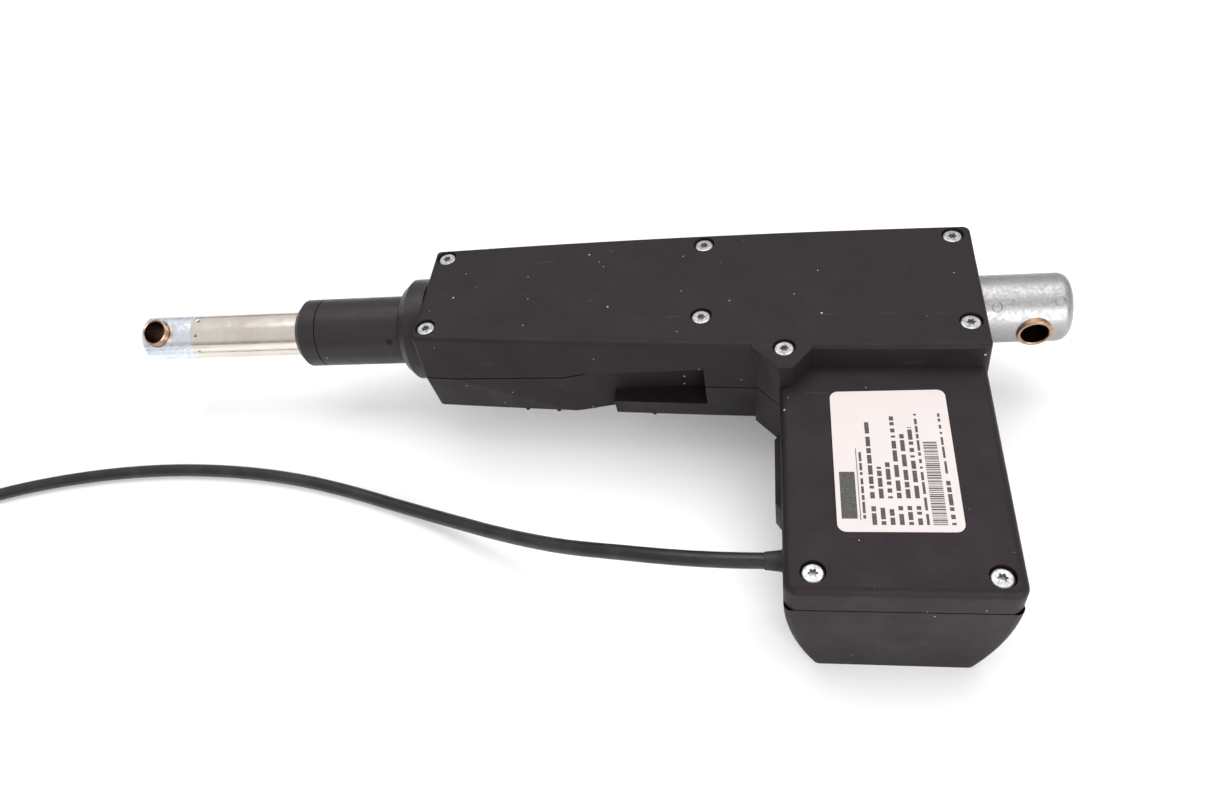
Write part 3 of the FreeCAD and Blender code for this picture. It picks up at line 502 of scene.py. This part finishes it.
def nickel():
    """Bright nickel contact with fine wipe marks along it."""
    p = Paint("plug_nickel", (0.68, 0.66, 0.62), 0.18, metallic=1.0)
    p.mix(p.ramp(p.noise(1.2, 3), 0.45, 0.7, 0.0, 0.5), (0.52, 0.50, 0.46))
    p.gloss(p.noise(0.9, 3), 0.3, 0.7, 0.12, 0.28)
    p.add_height(p.noise(0.6, 2), 0.010)
    return p.done()


def label_film():
    """Satin white film with a faint warm tone and a slightly lifted grain."""
    p = Paint("label_film", (0.66, 0.595, 0.58), 0.42, specular=0.3)
    p.mix(p.ramp(p.noise(14.0, 3), 0.4, 0.7, 0.0, 0.6), (0.63, 0.57, 0.56))
    p.gloss(p.noise(6.0, 3), 0.3, 0.7, 0.32, 0.46)
    p.add_height(p.noise(0.8, 2), 0.006)
    return p.done()


def label_ink():
    """Dark thermal print, slightly uneven."""
    p = Paint("label_ink", (0.035, 0.030, 0.032), 0.45)
    p.mix(p.ramp(p.noise(0.6, 3), 0.45, 0.75, 0.0, 0.6), (0.16, 0.14, 0.14))
    p.gloss(p.noise(1.0, 3), 0.3, 0.7, 0.38, 0.54)
    return p.done()


plastic = housing_plastic()
steel_screw = zinc_screw()
bearing = bearing_steel()
machined = machined_steel()
plain_bronze = bronze()
rubber = rubber_black()
black_tube = tube_black()
core = dark_core()
sheath = cord_sheath()
film = label_film()
ink = label_ink()
nickel_plate = nickel()
copper_wire = copper()
nylon = gear_nylon()
rod_steel = stainless()
eye_zinc = zinc_steel()
case_plastic = switch_plastic()

FINISHES = {
    "upper_housing": plastic,
    "lower_housing": plastic,
    "side_cover": plastic,
    "housing_screws": steel_screw,
    "rating_label": film,
    "rear_fixture": cast_aluminium(),
    "rear_fixture_bush": bushed_bore("rear_bush_bronze", (0, 0, 0), (0, 1, 0), PIN_R),
    "rear_bearing_outer_ring": bearing,
    "rear_bearing_inner_ring": bearing,
    "front_bearing_outer_ring": bearing,
    "front_bearing_inner_ring": bearing,
    "bearing_balls": bearing,
    "bearing_block": case_plastic,
    "spindle": machined,
    "worm_wheel": nylon,
    "worm": machined,
    "motor_can": machined,
    "motor_flange": machined,
    "motor_front_bush": plain_bronze,
    "motor_rear_bush": plain_bronze,
    "worm_end_bush": plain_bronze,
    "motor_magnets": core,
    "armature_core": core,
    "armature_windings": copper_wire,
    "motor_shaft": machined,
    "commutator": copper_wire,
    "brush_holder": case_plastic,
    "carbon_brushes": core,
    "front_collar": black_tube,
    "outer_tube": black_tube,
    "tube_nose_cap": black_tube,
    "rod_guide_bush": plain_bronze,
    "rod_seal": rubber,
    "spindle_nut": nylon,
    "piston_rod": rod_steel,
    "rod_eye": eye_zinc,
    "rod_eye_bush": bushed_bore("eye_bush_bronze", EYE_CENTRE, EYE_AXIS, PIN_R),
    "circuit_board": board_green(),
    "limit_switches": case_plastic,
    "cord_grommet": rubber,
    "plug_body": rubber,
    "plug_tip": nickel_plate,
}
for name, material in FINISHES.items():
    slots = NODES[name].material_slots
    for slot in slots:
        slot.link = "OBJECT"
        slot.material = material


# ---- cord -------------------------------------------------------------------------------------
def smooth_share(travelled, start):
    """0 before a start angle, 1 after the change, with a smooth passage between."""
    share = min(1.0, max(0.0, (travelled - start) / COIL_CHANGE_DEG))
    return share * share * (3 - 2 * share)


def coil_points():
    """Two turns side by side on the surface, the second climbing over the first into a third."""
    step = 360.0 / COIL_POINTS_PER_TURN
    points = []
    count = round((720 + COIL_TOP_END_DEG - COIL_START_DEG) / step)
    for k in range(1, count + 1):
        travelled = k * step
        share = smooth_share(travelled, COIL_INWARD_DEG)
        climb = smooth_share(travelled, COIL_CLIMB_DEG)
        radius = COIL_OUTER_R + (COIL_INNER_R - COIL_OUTER_R) * share
        height = FLOOR_CORD_Z
        if climb > 0:
            lean = math.radians(COIL_LEAN_DEG) * climb
            below = COIL_OUTER_R + (COIL_INNER_R - COIL_OUTER_R) * climb
            radius = below - (CORD_D + COIL_GAP) * math.cos(lean)
            height = FLOOR_CORD_Z + (CORD_D + COIL_GAP) * math.sin(lean)
        angle = math.radians(COIL_START_DEG + travelled)
        x = COIL_CENTRE[0] + radius / COIL_SHRINK * math.cos(angle)
        y = COIL_CENTRE[1] + radius / COIL_SHRINK * math.sin(angle)
        points.append((x, y, height))
    return points


def nurbs(name, points, radius, material):
    """A round cord along one open spline."""
    data = bpy.data.curves.new(name, "CURVE")
    data.dimensions = "3D"
    data.bevel_depth = radius * MM
    data.bevel_resolution = 5
    data.resolution_u = 6
    data.use_fill_caps = True
    spline = data.splines.new("NURBS")
    spline.points.add(len(points) - 1)
    for point, place in zip(spline.points, points):
        point.co = (*[value * MM for value in place], 1)
    spline.order_u = 3
    spline.use_endpoint_u = True
    data.materials.append(material)
    obj = bpy.data.objects.new(name, data)
    bpy.context.scene.collection.objects.link(obj)
    return obj


cord = nurbs("supply_cord", CORD_ROUTE + coil_points() + TAIL_ROUTE, CORD_R, sheath)
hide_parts("power_cord", "cord_tail", "cord_coil")
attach(cord, "housing")


# ---- mesh helpers -----------------------------------------------------------------------------
def add_mesh(name, corners, faces, material, body):
    """A new piece from corners in millimetres."""
    data = bpy.data.meshes.new(name)
    data.from_pydata([[value * MM for value in corner] for corner in corners], [], faces)
    data.materials.append(material)
    data.update()
    obj = bpy.data.objects.new(name, data)
    bpy.context.scene.collection.objects.link(obj)
    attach(obj, body)
    return obj


# ---- label print: plain bars, dashes and stripes, with no lettering --------------------------
LABEL_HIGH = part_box("rating_label")[1]
PRINT_Z = LABEL_HIGH.z / MM + 0.02
LABEL_LEFT = LABEL_HIGH.x / MM
LABEL_END = LABEL_HIGH.y / MM


def label_print():
    """Rows run along Y. Each row is given by its distance from the label's front edge and its height."""
    corners, faces = [], []

    def bar(row, height, start, end):
        x1 = LABEL_LEFT - row
        x0 = x1 - height
        y1 = LABEL_END - start
        y0 = LABEL_END - end
        first = len(corners)
        corners.extend([(x0, y0, PRINT_Z), (x1, y0, PRINT_Z), (x1, y1, PRINT_Z), (x0, y1, PRINT_Z)])
        faces.append([first, first + 1, first + 2, first + 3])

    def dashes(row, height, start, end, seed):
        """A row of short and long dashes of even height."""
        at = start
        k = seed
        while at < end:
            k = (k * 5 + 3) % 16
            width = 0.9 + 0.28 * k
            bar(row, height, at, min(at + width, end))
            at += width + (0.7 if k % 3 else 1.4)

    bar(1.6, 5.2, 5.0, 24.0)
    bar(7.6, 0.25, 4.5, 34.0)
    dashes(8.6, 0.9, 5.0, 33.0, 3)
    rows = [(11.4, 46.0), (14.3, 26.0), (17.2, 28.0), (20.1, 48.0), (23.0, 40.0), (25.9, 43.0)]
    for number, (row, end) in enumerate(rows):
        dashes(row, 1.5, 2.6, 10.0, number + 2)
        dashes(row, 1.5, 13.0, end, number + 7)
    dashes(28.6, 0.9, 2.6, 49.0, 5)
    at = 2.6
    k = 7
    while at < 36.0:
        k = (k * 5 + 3) % 16
        width = 0.25 + 0.09 * (k % 5)
        bar(30.6, 4.6, at, at + width)
        at += width + 0.25 + 0.08 * (k % 4)
    dashes(36.4, 1.4, 2.6, 20.0, 9)
    dashes(36.7, 0.8, 23.0, 49.0, 12)
    return add_mesh("label_print", corners, faces, ink, "housing")


label_print()


# ---- floor and light --------------------------------------------------------------------------
def floor():
    """A pale sheet under the part, with a faint glow of its own."""
    data = bpy.data.meshes.new("floor")
    half = 6.0
    z = TABLE_Z * MM - 0.0001
    corners = [(-half, -half, z), (half, -half, z), (half, half, z), (-half, half, z)]
    data.from_pydata(corners, [], [(0, 1, 2, 3)])
    pale = Paint("floor_white", (0.80, 0.80, 0.80), 0.9, specular=0.1)
    pale.mix(pale.ramp(pale.noise(60, 2), 0.3, 0.7), (0.79, 0.79, 0.79))
    pale.shader.inputs["Emission Color"].default_value = (1, 1, 1, 1)
    pale.shader.inputs["Emission Strength"].default_value = 0.20
    data.materials.append(pale.done())
    obj = bpy.data.objects.new("floor", data)
    bpy.context.scene.collection.objects.link(obj)


def soft_box(name, place, target, width, height, power):
    """A rectangular lamp that faces a target."""
    data = bpy.data.lights.new(name, "AREA")
    data.shape = "RECTANGLE"
    data.size = width
    data.size_y = height
    data.energy = power
    obj = bpy.data.objects.new(name, data)
    bpy.context.scene.collection.objects.link(obj)
    obj.location = place
    aim = Vector(target) - Vector(place)
    obj.rotation_euler = aim.to_track_quat("-Z", "Y").to_euler()


def world():
    """White overhead, darker near the horizon, so that round metal gets a dark edge."""
    made = bpy.data.worlds.new("studio")
    made.use_nodes = True
    tree = made.node_tree
    background = tree.nodes["Background"]
    background.inputs["Strength"].default_value = 0.74
    place = tree.nodes.new("ShaderNodeTexCoord")
    split = tree.nodes.new("ShaderNodeSeparateXYZ")
    tree.links.new(place.outputs["Generated"], split.inputs[0])
    shades = tree.nodes.new("ShaderNodeValToRGB")
    shades.color_ramp.elements[0].position = 0.04
    shades.color_ramp.elements[0].color = (0.22, 0.22, 0.23, 1)
    shades.color_ramp.elements[1].position = 0.32
    shades.color_ramp.elements[1].color = (1.0, 1.0, 1.0, 1)
    tree.links.new(split.outputs["Z"], shades.inputs[0])
    tree.links.new(shades.outputs[0], background.inputs["Color"])
    bpy.context.scene.world = made


floor()
world()
bpy.context.scene.view_settings.view_transform = "Standard"
soft_box("key_light", (0.15, -0.35, 1.3), (0.2, 0.05, 0.0), 1.6, 1.0, 13)
soft_box("front_light", (-0.5, 1.2, 0.45), (0.1, 0.1, 0.0), 0.9, 0.6, 13)
